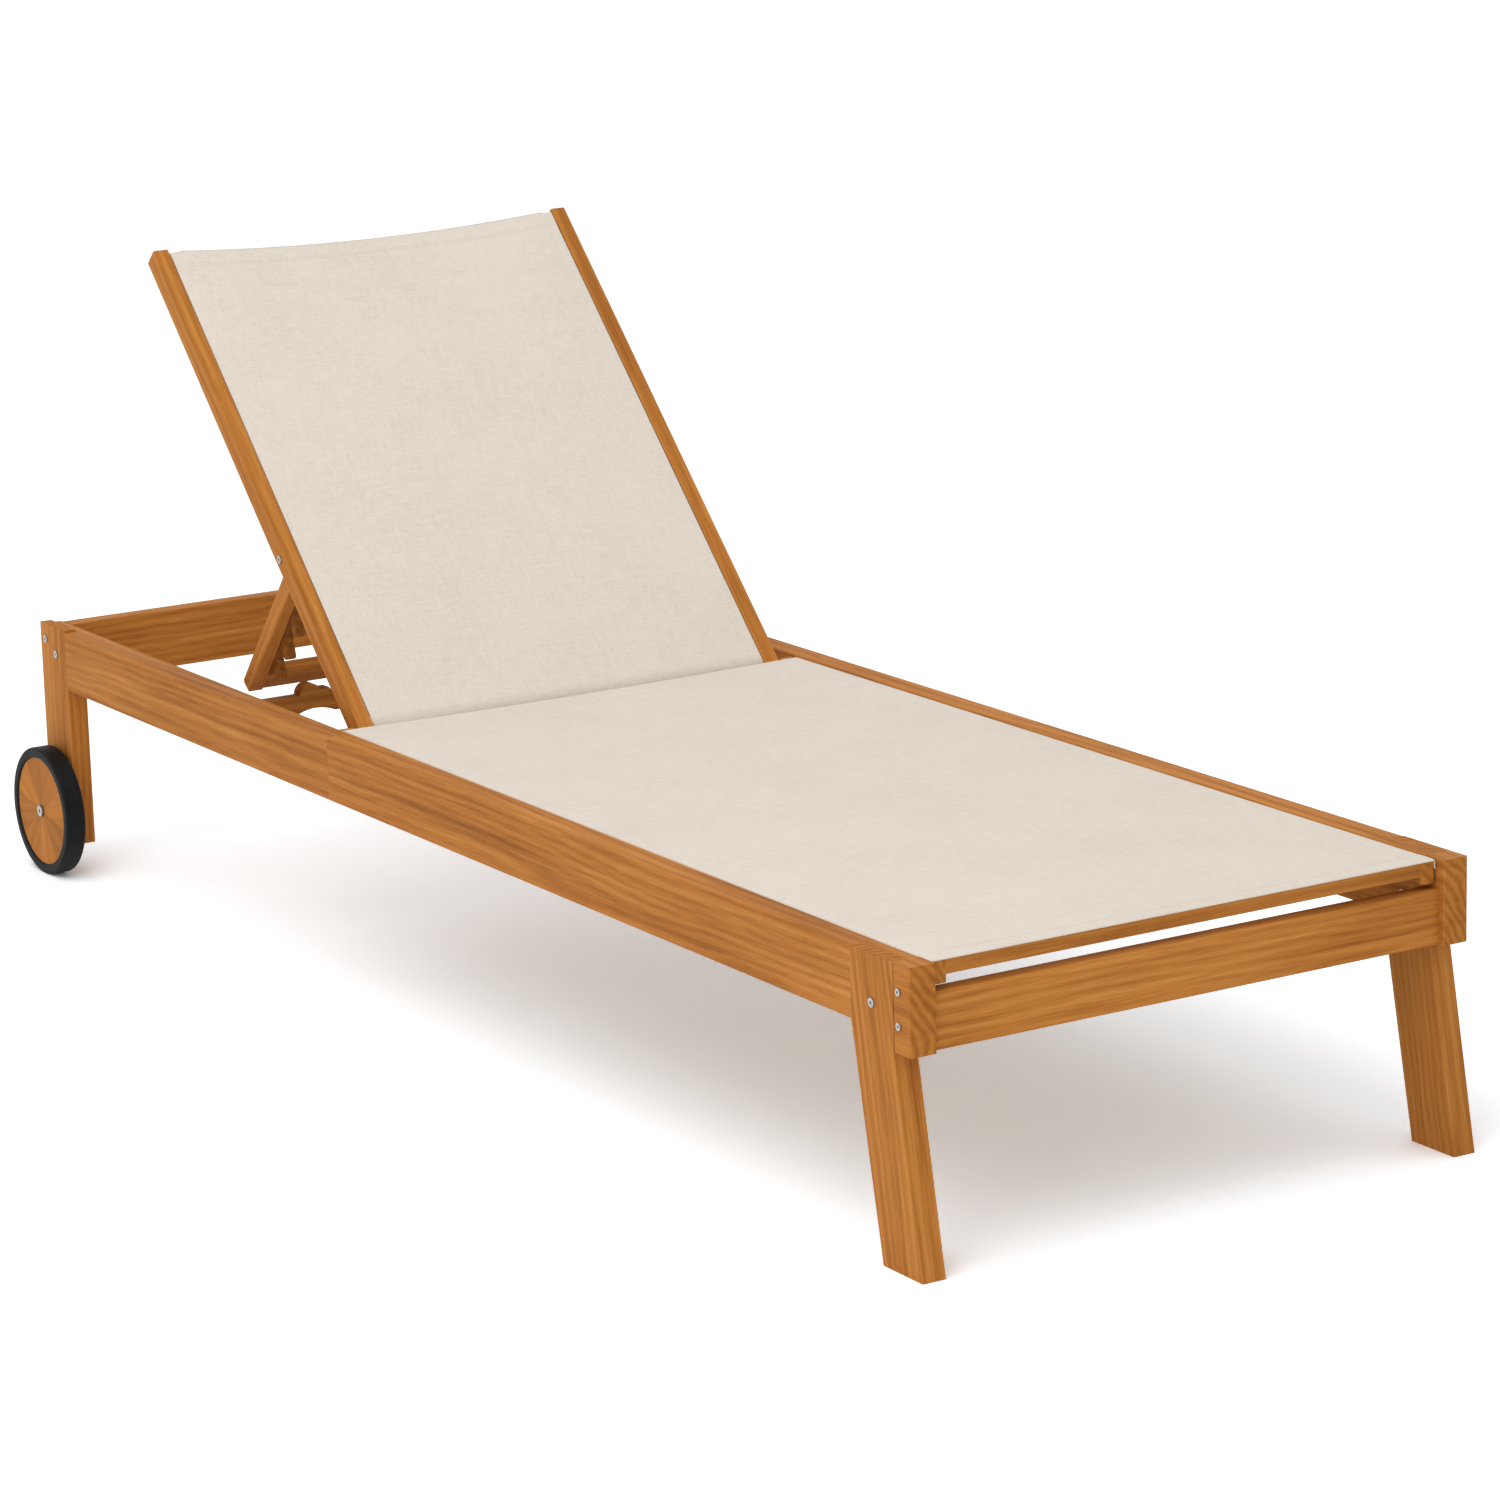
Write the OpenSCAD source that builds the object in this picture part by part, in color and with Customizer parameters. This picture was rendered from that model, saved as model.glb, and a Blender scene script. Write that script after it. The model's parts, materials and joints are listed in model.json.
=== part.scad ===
// Reclining sun lounger: a hardwood bed frame on two splayed feet and two wheels, a hinged
// backrest held up by a toothed U-shaped prop, and two fabric slings. Millimetres, +Z up.
// +X points to the foot end, -Y is the left side as seen from the foot end. The origin is on
// the floor, under the middle of the whole lounger.

/* [Bed] */
// Length of the bed over its rails
bed_l = 2000; // [1700:10:2400]
// Width over the outer faces of the side rails
bed_w = 690; // [580:5:830]
// Height of the rail tops above the floor
bed_h = 316; // [264:2:380]
// Height of a side rail
rail_h = 75; // [66:1:90]
// Thickness of a side rail
rail_t = 31; // [27:1:37]
// Distance from the head end to the joint in each side rail
rail_joint = 793; // [680:1:900]
// Radius of the eased edges on boards
edge_r = 2; // [1:0.5:3]

/* [Legs] */
// Width of a rear leg, along the bed
rear_leg_w = 74; // [60:1:88]
// Thickness of all four legs, across the bed
leg_t = 27; // [23:1:31]
// Height of the rear legs' lower ends above the floor
rear_leg_clear = 39; // [20:1:46]
// Height of the rear legs' tops above the rails
rear_leg_proud = 3; // [0:0.5:4]
// Width of a front leg where it crosses the rail
front_leg_w = 75; // [62:1:90]
// Width of a front foot
foot_w = 69; // [56:1:84]
// How far each front foot runs forward of the leg above it
foot_splay = 43; // [34:1:54]
// Depth of the lap between a leg and its rail
lap_t = 16; // [13:1:19]
// Length of a corner block, along the bed
corner_l = 29; // [24:1:35]
// Height of a corner block
corner_h = 91; // [80:1:110]

/* [Crossbars] */
// Thickness of the front crossbar
front_bar_t = 22; // [18:1:27]
// Drop from the rail tops to the front crossbar's top
front_bar_drop = 32; // [27:1:38]
// Setback of the front crossbar from the foot end
front_bar_set = 8; // [4:1:11]
// Thickness of the rear crossbar
rear_bar_t = 26; // [22:1:31]
// Setback of the rear crossbar from the head end
rear_bar_set = 4; // [2:1:8]

/* [Seat frame] */
// Thickness of a seat stile
seat_stile_t = 17; // [14:1:20]
// Height of a seat stile
seat_stile_h = 24; // [20:1:28]
// Gap between a seat stile and its rail
stile_gap = 3.5; // [2.5:0.5:4.5]
// Distance from the seat stiles' front ends to the foot end
seat_front_set = 13; // [10:1:20]
// Thickness of each seat stretcher, along the bed
stretcher_t = 18; // [15:1:22]
// Height of each stretcher board
stretcher_h = 20; // [16:1:24]
// How far the middle of a stretcher hangs below its ends
stretcher_bow = 17; // [14:1:20]
// Height of the front stretcher, which is straight
front_stretcher_h = 16; // [14:1:18]

/* [Backrest] */
// Distance from the head end to the backrest's hinge
pivot_x = 761; // [740:1:900]
// Angle of the backrest above flat at rest, its most upright position
back_angle = 46; // [38:0.5:55]
// Length of a back stile from the hinge to its top
back_l = 707; // [590:1:712]
// Thickness of a back stile, across the bed
back_stile_t = 20; // [17:1:24]
// Depth of a back stile, front to back
back_stile_d = 26; // [24:1:31]
// Gap between a back stile and its seat stile
hinge_gap = 4.5; // [3.5:0.5:5.5]
// Distance from the backrest's top to its top stretcher's middle
top_stretcher_set = 82; // [60:1:110]
// Distance from the hinge to the lower stretcher's middle
low_stretcher_set = 78; // [64:1:100]

/* [Prop] */
// Distance along the back stile from the hinge to the prop's pivot
prop_reach = 255; // [212:1:290]
// Angle of the prop legs above flat at rest
prop_lean = 50.6; // [48:0.1:54]
// Length of a prop leg from its pivot to its lower end
prop_l = 239; // [199:1:260]
// Width of a prop leg
prop_w = 22; // [19:1:24]
// Thickness of a prop leg, across the bed
prop_t = 17; // [14:1:20]
// Gap between a prop leg and its back stile
prop_gap = 1.5; // [1:0.5:2.5]
// Depth of the prop's crossbar, along the leg
prop_bar_h = 26; // [22:1:31]
// Thickness of the prop's crossbar
prop_bar_t = 18; // [15:1:21]
// Thickness of a toothed rack
rack_t = 12; // [10:1:14]
// Distance from the prop's pivot to the first tooth
tooth_first = 96; // [80:1:100]
// Distance between teeth
tooth_pitch = 42; // [35:1:46]
// Length of a tooth beyond the leg's face
tooth_l = 26; // [22:1:28]
// Width of a tooth
tooth_w = 10; // [8:0.5:12]
// Slant of the teeth from square to the leg, towards its foot
tooth_slant = 33; // [28:1:38]

/* [Catch bar] */
// Distance from the head end to the catch bar's middle
catch_x = 462; // [459:1:470]
// Thickness of the catch bar
catch_t = 18; // [15:1:21]
// Height of the catch bar at its ends
catch_h = 23; // [19:1:27]
// Height of each hump on the catch bar
hump_h = 14; // [11:1:16]

/* [Slings] */
// Thickness of the sling fabric
sling_t = 1.2; // [1:0.1:1.5]
// Clearance that the fabric keeps from the wood
sling_clear = 0.3; // [0.2:0.1:0.4]
// Depth of the back sling's face below the front of the stiles
sling_sink = 1.6; // [1.4:0.1:1.9]

/* [Wheels] */
// Radius of a wheel over its tyre
wheel_r = 82; // [70:1:90]
// Width of a tyre
tyre_w = 27; // [23:1:32]
// Thickness of a tyre's tread, radially
tyre_t = 13; // [11:1:15]
// Thickness of a wooden wheel disc
disc_t = 22; // [19:1:23]
// Gap between a wheel and its leg
wheel_gap = 6; // [5:1:8]
// Distance from the head end to the wheels' axis
axle_x = 40; // [34:1:42]
// Radius of an axle bolt
axle_r = 5; // [4:0.5:6]

/* [Fixings] */
// Radius of the bolts' shanks
bolt_r = 3; // [2.5:0.5:3.5]
// Radius of the bolts' heads
bolt_head_r = 5; // [4.5:0.5:6]
// Height of the bolts' heads
bolt_head_h = 1.6; // [1.2:0.1:2]
// Radius of the wood screws
screw_r = 2; // [1.5:0.25:2.25]
// Radius of the wood screws' heads
screw_head_r = 4; // [3.5:0.25:4.5]
// Radius of the dowels
dowel_r = 5; // [4:0.5:5.5]
// Length of the dowels
dowel_l = 40; // [32:2:44]
// Radial clearance of a bolt or pin in its hole
fit = 0.05; // [0.03:0.01:0.08]

/* [Hidden] */
$fn = 64;

wood = [0.80, 0.56, 0.33];
dark_wood = [0.70, 0.46, 0.25];
cloth = [0.90, 0.87, 0.80];
steel = [0.78, 0.78, 0.76];
rubber = [0.12, 0.12, 0.12];
nylon = [0.20, 0.20, 0.20];

over = 1; // cuts run this far past a face
play = 0.3; // gap between faces that move past each other

// How far a shape runs past its ends when it is drawn as a hole
function past(extra) = extra > 0 ? over : 0;

// Along the bed, measured from the head end
front_leg_x = bed_l - corner_l - front_leg_w;
foot_tip_x = bed_l - corner_l + foot_splay;
head_x = -(foot_tip_x + min(0, axle_x - wheel_r)) / 2;
seat_front_x = bed_l - seat_front_set;

// Across the bed, measured from the middle
tongue_t = rail_t - lap_t; // what is left of a rail inside its laps
rail_out = bed_w / 2;
rail_in = rail_out - rail_t;
seat_stile_out = rail_in - stile_gap;
seat_stile_in = seat_stile_out - seat_stile_t;
back_out = seat_stile_in - hinge_gap;
back_in = back_out - back_stile_t;
prop_out = back_in - prop_gap;
prop_in = prop_out - prop_t;
wheel_in = rail_out + wheel_gap;

// Heights
pivot_drop = 1;
pivot_z = bed_h - pivot_drop - back_stile_d / 2;
rail_bottom = bed_h - rail_h;
seat_stile_top = pivot_z + seat_stile_h / 2;
front_bar_h = corner_h - front_bar_drop;
axle_z = wheel_r;

// Prop
prop_pivot_back = 1.5;
prop_pivot = [
    pivot_x - prop_reach * cos(back_angle) - prop_pivot_back * sin(back_angle),
    pivot_z + prop_reach * sin(back_angle) - prop_pivot_back * cos(back_angle)
];
prop_foot_r = 6;
prop_bar_set = 3; // from the prop crossbar's lower face to the legs' ends
prop_bar_mid = prop_l - prop_bar_set - prop_bar_h / 2;
rack_w = 12;
rack_margin = 16; // from a rack's upper end to its first tooth
rack_gap = 2;
tooth_count = 3;

// Catch bar
catch_under_prop = 4; // room for the folded prop legs to pass over the bar
catch_top = pivot_z - prop_w / 2 - catch_under_prop;
hump_set = 38;
hump_y = prop_in - rack_t - hump_set;
hump_w = 26;
hump_foot = 6;
catch_wave = 6;
catch_wave_r = 60;
catch_wave_set = 6;

// Fixings
washer_r = 9;
washer_t = 1.5;
spacer_r = 7;
dowel_wall = 3; // wood left on each side of a dowel
nut_t = 5;
splice_l = 200;
splice_t = 16;
splice_set = 4;
screw_head_h = 1.2;
socket_k = 0.42; // socket radius as a share of the head's
socket_deep = 0.6; // socket depth as a share of the head's
hold = 0.6; // share of a board's thickness that a screw or dowel reaches into
stile_screw_x = [for (k = [0.07, 0.42, 0.78, 0.97]) pivot_x + k * (seat_front_x - pivot_x)];

// ---- Shared shapes ----

// Places a shape drawn from the head end
module bed() translate([head_x, 0, 0]) children();

// Draws a right-hand shape on the right (1) or mirrored on the left (-1)
module side(s) {
    if (s > 0) children();
    else mirror([0, 1, 0]) children();
}

// Draws a right-hand shape on both sides
module both() {
    children();
    mirror([0, 1, 0]) children();
}

// Rectangle with eased corners, from the origin
module eased(a, b, r = edge_r) {
    translate([r, 0]) square([a - 2 * r, b]);
    translate([0, r]) square([a, b - 2 * r]);
    for (x = [r, a - r], y = [r, b - r]) translate([x, y]) circle(r);
}

// Board along X with eased edges, from the origin
module board_x(l, w, h, r = edge_r) rotate([90, 0, 90]) linear_extrude(l) eased(w, h, r);

// Board along Z with eased edges, from the origin
module board_z(w, d, h, r = edge_r) linear_extrude(h) eased(w, d, r);

// Outline in the XZ plane, drawn from y to y + t
module plate_y(y, t) translate([0, y + t, 0]) rotate([90, 0, 0]) linear_extrude(t) children();

// Round bar along Y, from y0 to y1
module pin_y(x, z, y0, y1, r) translate([x, y1, z]) rotate([90, 0, 0]) cylinder(h = y1 - y0, r = r);

// Hexagon-socket head on a pin along +Y, with its underside at y
module socket_head(x, z, y, r, h) {
    difference() {
        pin_y(x, z, y, y + h, r);
        translate([x, y + h + over, z]) rotate([90, 0, 0])
            cylinder(h = over + h * socket_deep, r = r * socket_k, $fn = 6);
    }
}

// Washer on a pin along Y
module washer_y(x, z, y, t, r_out, r_in) difference() {
    pin_y(x, z, y, y + t, r_out);
    pin_y(x, z, y - over, y + t + over, r_in + fit);
}

// ---- Side rails ----

// Holes through the rails for the leg bolts
module leg_bolt_holes() {
    for (p = [rear_bolt, front_bolt])
        pin_y(p[0], p[1], rail_in - over, rail_out + over, bolt_r + fit);
}

module side_rail_front(s) color(wood) bed() side(s) difference() {
    translate([rail_joint, rail_in, rail_bottom])
        board_x(bed_l - corner_l - rail_joint, rail_t, rail_h);
    translate([front_leg_x, rail_out - lap_t, rail_bottom - over])
        cube([front_leg_w + over, lap_t + over, rail_h + 2 * over]);
    leg_bolt_holes();
    rail_dowels(fit);
    stile_screw_holes();
    splice_screw_holes();
}

module side_rail_rear(s) color(wood) bed() side(s) difference() {
    translate([0, rail_in, rail_bottom]) board_x(rail_joint, rail_t, rail_h);
    translate([-over, rail_out - lap_t, rail_bottom - over])
        cube([rear_leg_w + over, lap_t + over, rail_h + 2 * over]);
    leg_bolt_holes();
    crossbar_screw_holes();
    crossbar_dowel_pins(fit);
    catch_dowels(fit);
    splice_screw_holes();
}

// Plate screwed across the joint, on the rail's inner face below the seat stile
splice_top = pivot_z - seat_stile_h / 2 - splice_set;
splice_h = splice_top - rail_bottom - splice_set;
splice_screw_z = rail_bottom + splice_set + splice_h / 2;
splice_screw_x = [for (k = [-0.4, -0.15, 0.15, 0.4]) rail_joint + k * splice_l];
splice_screw_l = splice_t + rail_t * hold;

module rail_splice(s) color(dark_wood) bed() side(s) difference() {
    translate([rail_joint - splice_l / 2, rail_in - splice_t, rail_bottom + splice_set])
        board_x(splice_l, splice_t, splice_h);
    splice_screw_holes();
}

module splice_screw_holes() {
    for (x = splice_screw_x)
        pin_y(x, splice_screw_z, rail_in - splice_t - over,
            rail_in - splice_t + splice_screw_l + over, screw_r + fit);
}

module splice_screws() color(steel) bed() both() {
    for (x = splice_screw_x) {
        pin_y(x, splice_screw_z, rail_in - splice_t, rail_in - splice_t + splice_screw_l, screw_r);
        mirror([0, 1, 0]) socket_head(x, splice_screw_z, -(rail_in - splice_t), screw_head_r,
            screw_head_h);
    }
}

// ---- Corner blocks ----

// Each screw pins a corner dowel; the lower one runs on into the crossbar
corner_screw_x = bed_l - front_bar_set - front_bar_t / 2;
corner_screw_z = [for (k = [0.69, 0.31]) bed_h - corner_h * k];
corner_screw_l = [rail_t * 2, rail_t * 0.9];

module corner_block(s) color(wood) bed() side(s) difference() {
    translate([bed_l - corner_l, rail_in, bed_h - corner_h]) board_z(corner_l, rail_t, corner_h);
    corner_screw_holes();
    rail_dowels(fit);
    crossbar_dowel_pins(fit);
}

module corner_screw_holes() {
    for (i = [0, 1])
        pin_y(corner_screw_x, corner_screw_z[i], rail_out - corner_screw_l[i] - over,
            rail_out + over, screw_r + fit);
}

module corner_screws() color(steel) bed() both() {
    for (i = [0, 1]) {
        pin_y(corner_screw_x, corner_screw_z[i], rail_out - corner_screw_l[i], rail_out, screw_r);
        socket_head(corner_screw_x, corner_screw_z[i], rail_out, screw_head_r, bolt_head_h);
    }
}

// Dowels along the bed, from each corner block into the rail's tongue
rail_dowel_r = min(dowel_r, tongue_t / 2 - dowel_wall);

module rail_dowels(extra) {
    for (z = corner_screw_z)
        translate([bed_l - corner_l - dowel_l / 2 - past(extra), rail_in + tongue_t / 2, z])
            rotate([0, 90, 0]) cylinder(h = dowel_l / 2 + corner_l * hold + 2 * past(extra),
                r = rail_dowel_r + extra);
}

module corner_dowels() color(dark_wood) bed() both() difference() {
    rail_dowels(0);
    corner_screw_holes();
}

// ---- Legs ----

rear_bolt_at = [0.62, 0.57]; // across the leg, up the rail
front_bolt_at = [0.5, 0.34];
rear_bolt = [rear_leg_w * rear_bolt_at[0], rail_bottom + rail_h * rear_bolt_at[1]];
front_bolt = [front_leg_x + front_leg_w * front_bolt_at[0], rail_bottom + rail_h * front_bolt_at[1]];

module front_leg(s) color(wood) bed() side(s) difference() {
    plate_y(rail_out - leg_t, leg_t) polygon([
        [front_leg_x, bed_h], [front_leg_x + front_leg_w, bed_h],
        [front_leg_x + front_leg_w, bed_h - corner_h], [foot_tip_x, 0],
        [foot_tip_x - foot_w, 0], [front_leg_x, rail_bottom]
    ]);
    translate([front_leg_x - over, rail_out - leg_t - over, rail_bottom])
        cube([front_leg_w + 2 * over, leg_t - lap_t + over, rail_h + over]);
    leg_bolt_holes();
}

module rear_leg(s) color(wood) bed() side(s) difference() {
    translate([0, rail_out - leg_t, rear_leg_clear])
        board_z(rear_leg_w, leg_t, bed_h + rear_leg_proud - rear_leg_clear);
    translate([-over, rail_out - leg_t - over, rail_bottom])
        cube([rear_leg_w + 2 * over, leg_t - lap_t + over, rail_h + rear_leg_proud + over]);
    leg_bolt_holes();
    crossbar_screw_holes();
    pin_y(axle_x, axle_z, rail_out - leg_t - over, rail_out + over, axle_r + fit);
}

// Bolt with a head outside the leg and a round nut inside the rail
module leg_bolt(p) {
    pin_y(p[0], p[1], rail_in, rail_out, bolt_r);
    socket_head(p[0], p[1], rail_out, bolt_head_r, bolt_head_h);
    pin_y(p[0], p[1], rail_in - bolt_head_h, rail_in, bolt_head_r);
}

module front_leg_bolts() color(steel) bed() both() leg_bolt(front_bolt);

module rear_leg_bolts() color(steel) bed() both() leg_bolt(rear_bolt);

// ---- Crossbars ----

crossbar_screw_l = 80;
crossbar_screw_x = rear_bar_set + rear_bar_t / 2;
crossbar_screw_up = 0.78; // share of the rail's height
crossbar_dowel_up = 0.35;
crossbar_screw_z = rail_bottom + rail_h * crossbar_screw_up;
crossbar_dowels_xz = [
    [crossbar_screw_x, rail_bottom + rail_h * crossbar_dowel_up],
    [corner_screw_x, (corner_screw_z[0] + corner_screw_z[1]) / 2]
];
crossbar_dowel_r = 4;
crossbar_dowel_in = 10; // how far the dowels reach into the rails and corner blocks

module front_crossbar() color(wood) bed() difference() {
    translate([bed_l - front_bar_set - front_bar_t, -rail_in, bed_h - corner_h]) rotate([0, 0, 90])
        mirror([0, 1, 0]) board_x(2 * rail_in, front_bar_t, front_bar_h);
    both() {
        corner_screw_holes();
        crossbar_dowel_pins(fit);
    }
}

module rear_crossbar() color(wood) bed() difference() {
    translate([rear_bar_set, -rail_in, rail_bottom]) rotate([0, 0, 90])
        mirror([0, 1, 0]) board_x(2 * rail_in, rear_bar_t, rail_h);
    both() {
        crossbar_screw_holes();
        crossbar_dowel_pins(fit);
    }
}

module crossbar_screw_holes() {
    pin_y(crossbar_screw_x, crossbar_screw_z, rail_out - crossbar_screw_l - over,
        rail_out + over, bolt_r + fit);
}

module crossbar_dowel_pins(extra) {
    for (p = crossbar_dowels_xz)
        pin_y(p[0], p[1], rail_in + crossbar_dowel_in - dowel_l - past(extra),
            rail_in + crossbar_dowel_in + past(extra), crossbar_dowel_r + extra);
}

module crossbar_dowels() color(dark_wood) bed() both() crossbar_dowel_pins(0);

module crossbar_screws() color(steel) bed() both() {
    pin_y(crossbar_screw_x, crossbar_screw_z, rail_out - crossbar_screw_l, rail_out, bolt_r);
    socket_head(crossbar_screw_x, crossbar_screw_z, rail_out, bolt_head_r, bolt_head_h);
}

// ---- Catch bar ----

catch_dowel_z = catch_top - catch_h / 2;

// Outline across the bed: a shallow wave below, and two rounded humps above
module catch_outline() {
    difference() {
        union() {
            translate([-rail_in, catch_top - catch_h]) square([2 * rail_in, catch_h]);
            for (s = [-1, 1]) translate([s * hump_y, catch_top]) {
                circle(hump_h);
                translate([-s * (hump_w / 2) - hump_w / 2, 0]) square([hump_w, hump_foot]);
            }
        }
        for (s = [-1, 1])
            translate([s * (hump_y - catch_wave_set), catch_top - catch_h - catch_wave_r + catch_wave])
                circle(catch_wave_r, $fn = 128);
    }
}

module catch_bar() color(dark_wood) bed() difference() {
    translate([catch_x - catch_t / 2, 0, 0]) rotate([90, 0, 90]) linear_extrude(catch_t)
        catch_outline();
    both() catch_dowels(fit);
}

module catch_dowels(extra) pin_y(catch_x, catch_dowel_z, rail_in - dowel_l / 2 - past(extra),
    rail_in + rail_t * hold + past(extra), dowel_r + extra);

module catch_bar_dowels() color(wood) bed() both() catch_dowels(0);

// ---- Seat frame ----

stile_screw_l = seat_stile_t + stile_gap + tongue_t * hold;

module seat_stile(s) color(wood) bed() side(s) difference() {
    union() {
        translate([pivot_x, seat_stile_in, pivot_z - seat_stile_h / 2])
            board_x(seat_front_x - pivot_x, seat_stile_t, seat_stile_h);
        pin_y(pivot_x, pivot_z, seat_stile_in, seat_stile_out, seat_stile_h / 2);
    }
    pin_y(pivot_x, pivot_z, seat_stile_in - over, seat_stile_out + over, bolt_r + fit);
    stile_screw_holes();
    seat_dowels(fit);
}

module stile_screw_holes() {
    for (x = stile_screw_x)
        pin_y(x, pivot_z, seat_stile_in - over, seat_stile_in + stile_screw_l + over, screw_r + fit);
}

module stile_screws() color(steel) bed() both() {
    for (x = stile_screw_x) {
        pin_y(x, pivot_z, seat_stile_in, seat_stile_in + stile_screw_l, screw_r);
        mirror([0, 1, 0]) socket_head(x, pivot_z, -seat_stile_in, screw_head_r, screw_head_h);
    }
}

module stile_spacers() color(nylon) bed() both() {
    for (x = stile_screw_x)
        washer_y(x, pivot_z, seat_stile_out, stile_gap, spacer_r, screw_r);
}

// Radius of the arc that drops by the bow at the middle of a span, w is half the span
function arc_r(w) = (w * w + stretcher_bow * stretcher_bow) / (2 * stretcher_bow);

// Stretcher's outline: both edges follow the arc
module bowed_outline(w) intersection() {
    difference() {
        translate([0, arc_r(w) - stretcher_bow - stretcher_h]) circle(arc_r(w), $fn = 512);
        translate([0, arc_r(w) - stretcher_bow]) circle(arc_r(w), $fn = 512);
    }
    translate([-w, -stretcher_bow - stretcher_h - over])
        square([2 * w, stretcher_bow + stretcher_h + over]);
}

// Bowed board across a frame, with the tops of its ends at z
module stretcher(x, z, half) translate([x + stretcher_t / 2, 0, z]) rotate([90, 0, -90])
    linear_extrude(stretcher_t) bowed_outline(half);

stretcher_drop = 2; // the fabric clears the stretchers' ends by this much
seat_stretcher_z = seat_stile_top - stretcher_drop;
rear_stretcher_set = 60; // from the hinge
rear_stretcher_x = pivot_x + rear_stretcher_set;
middle_stretcher_x = (pivot_x + seat_front_x) / 2;
front_stretcher_x = seat_front_x - stretcher_t / 2;
front_stretcher_z = seat_stile_top - front_stretcher_h;
stretcher_dowel_r = 2.5;
stretcher_dowel_l = 22;
stretcher_dowel_in = 10; // how far the dowels reach into the stiles
stretcher_dowel_drop = 1; // the ends slope, so the dowels sit this far below their middles

module seat_stretcher(x) color(wood) bed() difference() {
    stretcher(x, seat_stretcher_z, seat_stile_in);
    both() seat_dowels(fit);
}

module seat_stretcher_front() color(wood) bed() difference() {
    translate([front_stretcher_x - stretcher_t / 2, -seat_stile_in, front_stretcher_z])
        rotate([0, 0, 90]) mirror([0, 1, 0])
            board_x(2 * seat_stile_in, stretcher_t, front_stretcher_h);
    both() seat_dowels(fit);
}

// Dowel between a stretcher's end and its stile, whose inner face is at y
module stretcher_dowel(x, z, y, extra) pin_y(x, z - stretcher_dowel_drop,
    y + stretcher_dowel_in - stretcher_dowel_l - past(extra), y + stretcher_dowel_in + past(extra),
    stretcher_dowel_r + extra);

module seat_dowels(extra) {
    for (x = [rear_stretcher_x, middle_stretcher_x])
        stretcher_dowel(x, seat_stretcher_z - stretcher_h / 2, seat_stile_in, extra);
    stretcher_dowel(front_stretcher_x, front_stretcher_z + front_stretcher_h / 2, seat_stile_in,
        extra);
}

module seat_stretcher_dowels() color(dark_wood) bed() both() seat_dowels(0);

// ---- Hinge ----

hinge_bolt_tip = 2; // past the seat stile's outer face

module hinge_bolts() color(steel) bed() both() {
    pin_y(pivot_x, pivot_z, back_in - play, seat_stile_out + hinge_bolt_tip, bolt_r);
    mirror([0, 1, 0]) socket_head(pivot_x, pivot_z, play - back_in, bolt_head_r, bolt_head_h);
}

module hinge_washers() color(steel) bed() both()
    washer_y(pivot_x, pivot_z, back_out + play, hinge_gap - play, washer_r, bolt_r);

// ---- Backrest ----

// Places a shape drawn flat, with the hinge at the origin and the top towards -X
module back_frame() bed() translate([pivot_x, 0, pivot_z]) rotate([0, back_angle, 0]) children();

module back_stile(s) color(wood) back_frame() side(s) difference() {
    union() {
        translate([-back_l, back_in, -back_stile_d / 2])
            board_x(back_l, back_stile_t, back_stile_d);
        pin_y(0, 0, back_in, back_out, back_stile_d / 2);
    }
    pin_y(0, 0, back_in - over, back_out + over, bolt_r + fit);
    pin_y(-prop_reach, -prop_pivot_back, back_in - over, back_out + over, bolt_r + fit);
    back_dowels(fit);
}

back_stretcher_x = [-back_l + top_stretcher_set, -low_stretcher_set];
back_stretcher_z = back_stile_d / 2 - sling_sink - sling_t - stretcher_drop;

module back_stretcher(x) color(wood) back_frame() difference() {
    stretcher(x, back_stretcher_z, back_in);
    both() back_dowels(fit);
}

module back_dowels(extra) {
    for (x = back_stretcher_x)
        stretcher_dowel(x, back_stretcher_z - stretcher_h / 2, back_in, extra);
}

module back_stretcher_dowels() color(dark_wood) back_frame() both() back_dowels(0);

// ---- Slings ----

sling_rear_set = 10; // from the hinge to the seat sling's rear edge
sling_lip = 1; // how far the seat sling runs past the stiles' outer faces and front ends
back_sling_foot = 7; // from the hinge
back_sling_top = 4; // from the stiles' tops

module seat_sling() color(cloth) bed()
    translate([pivot_x + sling_rear_set, -(seat_stile_out + sling_lip), seat_stile_top + sling_clear])
        cube([seat_front_x + sling_lip - pivot_x - sling_rear_set,
            2 * (seat_stile_out + sling_lip), sling_t]);

module back_sling() color(cloth) back_frame()
    translate([-back_l + back_sling_top, -(back_in - sling_clear),
        back_stile_d / 2 - sling_sink - sling_t])
        cube([back_l - back_sling_top - back_sling_foot, 2 * (back_in - sling_clear), sling_t]);

// ---- Prop ----

// Places a shape drawn flat, with the prop's pivot at the origin and its foot towards -X
module prop_frame() bed() translate([prop_pivot[0], 0, prop_pivot[1]])
    rotate([0, -prop_lean, 0]) children();

module prop_leg(s) color(wood) prop_frame() side(s) difference() {
    union() {
        translate([-prop_l, prop_in, -prop_w / 2]) board_x(prop_l, prop_t, prop_w);
        pin_y(0, 0, prop_in, prop_out, prop_w / 2);
    }
    pin_y(0, 0, prop_in - over, prop_out + over, bolt_r + fit);
    prop_foot_cuts();
    prop_screw_holes();
}

// Rounds the two lower corners of a prop leg
module prop_foot_cuts() {
    for (k = [-1, 1])
        difference() {
            translate([-prop_l - over, prop_in - over, k * (prop_w / 2 - prop_foot_r)])
                mirror([0, 0, k < 0 ? 1 : 0])
                    cube([prop_foot_r + over, prop_t + 2 * over, prop_foot_r + over]);
            pin_y(-prop_l + prop_foot_r, k * (prop_w / 2 - prop_foot_r),
                prop_in - 2 * over, prop_out + 2 * over, prop_foot_r);
        }
}

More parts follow.
